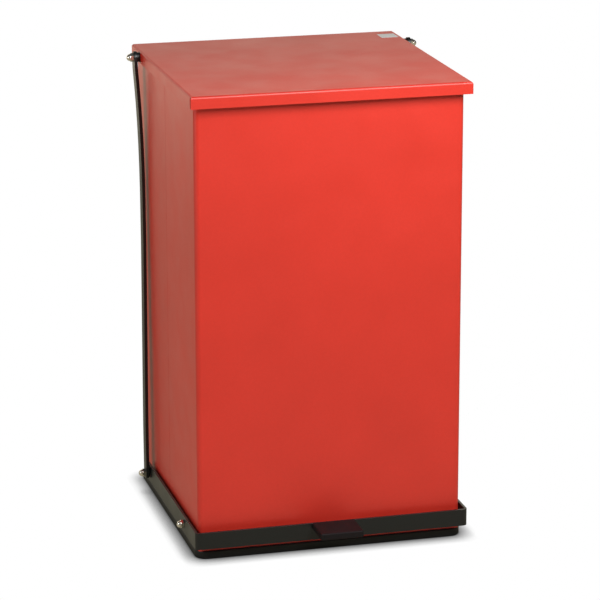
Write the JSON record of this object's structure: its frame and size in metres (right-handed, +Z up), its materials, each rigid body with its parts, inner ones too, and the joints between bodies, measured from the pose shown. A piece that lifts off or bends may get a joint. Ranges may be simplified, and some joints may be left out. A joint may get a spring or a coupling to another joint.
{
  "type": "pedal waste bin",
  "caption": "Square painted-steel step-on waste bin: flat hinged lid raised by a front foot pedal through a side band and two lift rods, over a lift-out metal liner.",
  "frame": {"origin": "on the floor under the middle of the whole bin, midway between its sides and between the pedal's front edge and the hinge at the back", "axes": "+Z up, -Y towards the front with the pedal, +X towards the right-hand side as seen from the front"},
  "size_m": [0.403, 0.4111, 0.6147],
  "materials": {
    "red_enamel": "satin baked enamel",
    "black_enamel": "satin baked enamel",
    "bumper_rubber": "matt moulded rubber",
    "tread_rubber": "matt moulded rubber",
    "button_rubber": "matt moulded rubber",
    "bright_nickel": "bright nickel plate",
    "zinc_steel": "zinc-plated steel",
    "galvanised_steel": "galvanised sheet",
    "black_nylon": "matt moulded nylon",
    "white_label": "coated paper label"
  },
  "bodies": {
    "can": {"front_shell": "red_enamel", "rear_shell": "red_enamel", "seam_strips": "red_enamel", "floor_pan": "red_enamel", "top_rim": "red_enamel", "base_bumper": "bumper_rubber", "liner_pail": "galvanised_steel", "liner_rim": "galvanised_steel", "liner_bail": "zinc_steel", "bail_bosses": "galvanised_steel", "hinge_leaf_body": "zinc_steel", "hinge_pin": "zinc_steel", "hinge_rivets": "zinc_steel", "pedal_pivot_bolts": "zinc_steel", "pedal_pivot_bushes": "black_nylon", "pedal_pivot_nuts": "bright_nickel"},
    "lid": {"lid_pan": "red_enamel", "hinge_leaf_lid": "zinc_steel", "lid_buttons": "button_rubber", "lid_label": "white_label", "rod_top_bolts": "zinc_steel", "rod_top_spacers": "black_nylon", "rod_top_nuts": "bright_nickel"},
    "pedal": {"pedal_band": "black_enamel", "pedal_plate": "black_enamel", "pedal_tread": "tread_rubber"},
    "rod_right": {"lift_rod_right": "black_enamel", "rod_foot_bolt_right": "zinc_steel", "rod_foot_spacer_right": "black_nylon", "rod_foot_nut_right": "bright_nickel"},
    "rod_left": {"lift_rod_left": "black_enamel", "rod_foot_bolt_left": "zinc_steel", "rod_foot_spacer_left": "black_nylon", "rod_foot_nut_left": "bright_nickel"}
  },
  "joints": [
    {"name": "lid_hinge", "type": "hinge", "parent": "can", "child": "lid", "pos_m": [0, 0.20255, 0.6103], "axis": [-1, 0, 0], "range_deg": [0, 55]},
    {"name": "pedal_pivot", "type": "hinge", "parent": "can", "child": "pedal", "pos_m": [0, -0.08745, 0.02925], "axis": [1, 0, 0], "range_deg": [0, 12.8]},
    {"name": "rod_left_pivot", "type": "hinge", "parent": "lid", "child": "rod_left", "pos_m": [-0.19015, 0.14955, 0.6066], "axis": [-1, 0, 0], "range_deg": [-53, 0]},
    {"name": "rod_right_pivot", "type": "hinge", "parent": "lid", "child": "rod_right", "pos_m": [0.19015, 0.14955, 0.6066], "axis": [-1, 0, 0], "range_deg": [-53, 0]}
  ],
  "couplings": [
    {"joint": "pedal_pivot", "follows": "lid_hinge", "ratio": 0.2322},
    {"joint": "rod_left_pivot", "follows": "lid_hinge", "ratio": -0.9635},
    {"joint": "rod_right_pivot", "follows": "lid_hinge", "ratio": -0.9635}
  ]
}
